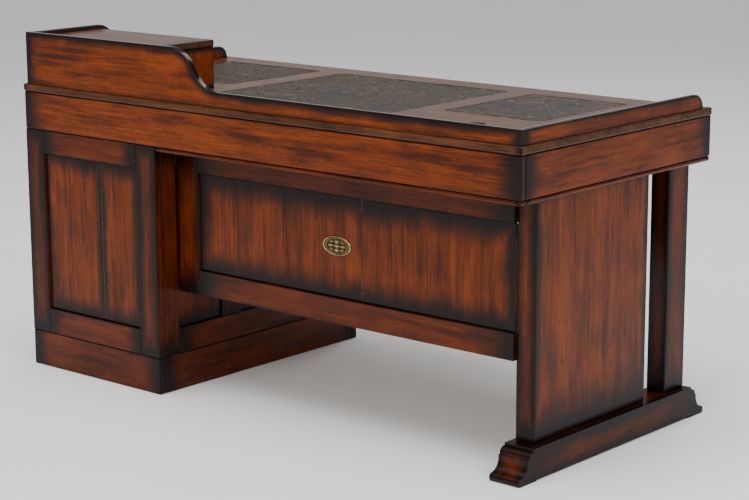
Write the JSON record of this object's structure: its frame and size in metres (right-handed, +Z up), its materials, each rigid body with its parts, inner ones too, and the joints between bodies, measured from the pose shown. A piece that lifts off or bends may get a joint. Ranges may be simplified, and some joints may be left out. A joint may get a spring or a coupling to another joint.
{
  "type": "pedestal desk",
  "caption": "Dark burnished writing desk with a drawer pedestal, a trestle leg, inset leather panels, a raised corner organizer and a modesty panel.",
  "frame": {"origin": "middle of the footprint, on the floor, with the front pulls counted", "axes": "+Z up, +X towards the drawer pedestal, the user sits on the -Y side"},
  "size_m": [1.6, 0.768, 0.878],
  "materials": {
    "dark_wood": "semi-gloss lacquer, burnished edges",
    "pale_wood": "satin",
    "leather": "grained, satin",
    "brass": "aged",
    "antique_brass": "antique"
  },
  "bodies": {
    "desk": {"bead_moulding": "dark_wood", "drawer_guides": "pale_wood", "frieze_back": "dark_wood", "frieze_leg_end": "dark_wood", "frieze_pedestal_end": "dark_wood", "front_frame": "dark_wood", "gallery_back": "dark_wood", "gallery_leg_end": "dark_wood", "gallery_pedestal_end": "dark_wood", "leather_center": "leather", "leather_leg": "leather", "leather_pedestal": "leather", "leg_plank": "dark_wood", "leg_post": "dark_wood", "modesty_frame": "dark_wood", "modesty_panels": "dark_wood", "organizer_dividers": "dark_wood", "organizer_floor": "dark_wood", "organizer_side": "dark_wood", "organizer_top": "dark_wood", "oval_plate": "antique_brass", "pedestal_back_frame": "dark_wood", "pedestal_back_panels": "dark_wood", "pedestal_deck": "dark_wood", "pedestal_floor": "dark_wood", "pedestal_inner_frame": "dark_wood", "pedestal_inner_panels": "dark_wood", "pedestal_outer_frame": "dark_wood", "pedestal_outer_panels": "dark_wood", "pedestal_runners": "dark_wood", "plinth": "dark_wood", "sled_foot": "dark_wood", "top_slab": "dark_wood"},
    "drawer_leg": {"drawer_leg_front": "dark_wood", "drawer_leg_box": "pale_wood", "pull_leg_plate": "brass"},
    "bail_leg": {"pull_leg_bail": "brass"},
    "drawer_center": {"drawer_center_front": "dark_wood", "drawer_center_box": "pale_wood", "pull_center_plate": "brass"},
    "bail_center": {"pull_center_bail": "brass"},
    "drawer_top": {"drawer_top_front": "dark_wood", "drawer_top_box": "pale_wood", "pull_top_plate": "brass"},
    "bail_top": {"pull_top_bail": "brass"},
    "drawer_middle": {"drawer_middle_front": "dark_wood", "drawer_middle_box": "pale_wood", "pull_middle_plate": "brass"},
    "bail_middle": {"pull_middle_bail": "brass"},
    "drawer_file": {"drawer_file_front": "dark_wood", "drawer_file_box": "pale_wood", "pull_file_plate": "brass"},
    "bail_file": {"pull_file_bail": "brass"},
    "organizer_drawer_a": {"organizer_drawer_a_front": "dark_wood", "organizer_drawer_a_box": "pale_wood", "organizer_knob_a": "brass"},
    "organizer_drawer_b": {"organizer_drawer_b_front": "dark_wood", "organizer_drawer_b_box": "pale_wood", "organizer_knob_b": "brass"}
  },
  "joints": [
    {"name": "drawer_leg_slide", "type": "slide", "parent": "desk", "child": "drawer_leg", "axis": [0, -1, 0], "range_m": [0, 0.4]},
    {"name": "bail_leg_swing", "type": "hinge", "parent": "drawer_leg", "child": "bail_leg", "pos_m": [-0.46375, -0.379, 0.6825], "axis": [-1, 0, 0], "range_deg": [-12, 95]},
    {"name": "drawer_center_slide", "type": "slide", "parent": "desk", "child": "drawer_center", "axis": [0, -1, 0], "range_m": [0, 0.4]},
    {"name": "bail_center_swing", "type": "hinge", "parent": "drawer_center", "child": "bail_center", "pos_m": [0.06275, -0.379, 0.6825], "axis": [-1, 0, 0], "range_deg": [-12, 95]},
    {"name": "drawer_top_slide", "type": "slide", "parent": "desk", "child": "drawer_top", "axis": [0, -1, 0], "range_m": [0, 0.4]},
    {"name": "bail_top_swing", "type": "hinge", "parent": "drawer_top", "child": "bail_top", "pos_m": [0.5575, -0.379, 0.6825], "axis": [-1, 0, 0], "range_deg": [-12, 95]},
    {"name": "drawer_middle_slide", "type": "slide", "parent": "desk", "child": "drawer_middle", "axis": [0, -1, 0], "range_m": [0, 0.44]},
    {"name": "bail_middle_swing", "type": "hinge", "parent": "drawer_middle", "child": "bail_middle", "pos_m": [0.5575, -0.379, 0.522], "axis": [-1, 0, 0], "range_deg": [-12, 95]},
    {"name": "drawer_file_slide", "type": "slide", "parent": "desk", "child": "drawer_file", "axis": [0, -1, 0], "range_m": [0, 0.48]},
    {"name": "bail_file_swing", "type": "hinge", "parent": "drawer_file", "child": "bail_file", "pos_m": [0.5575, -0.379, 0.263], "axis": [-1, 0, 0], "range_deg": [-12, 95]},
    {"name": "organizer_drawer_a_slide", "type": "slide", "parent": "desk", "child": "organizer_drawer_a", "axis": [0, -1, 0], "range_m": [0, 0.14]},
    {"name": "organizer_drawer_b_slide", "type": "slide", "parent": "desk", "child": "organizer_drawer_b", "axis": [0, -1, 0], "range_m": [0, 0.14]}
  ]
}
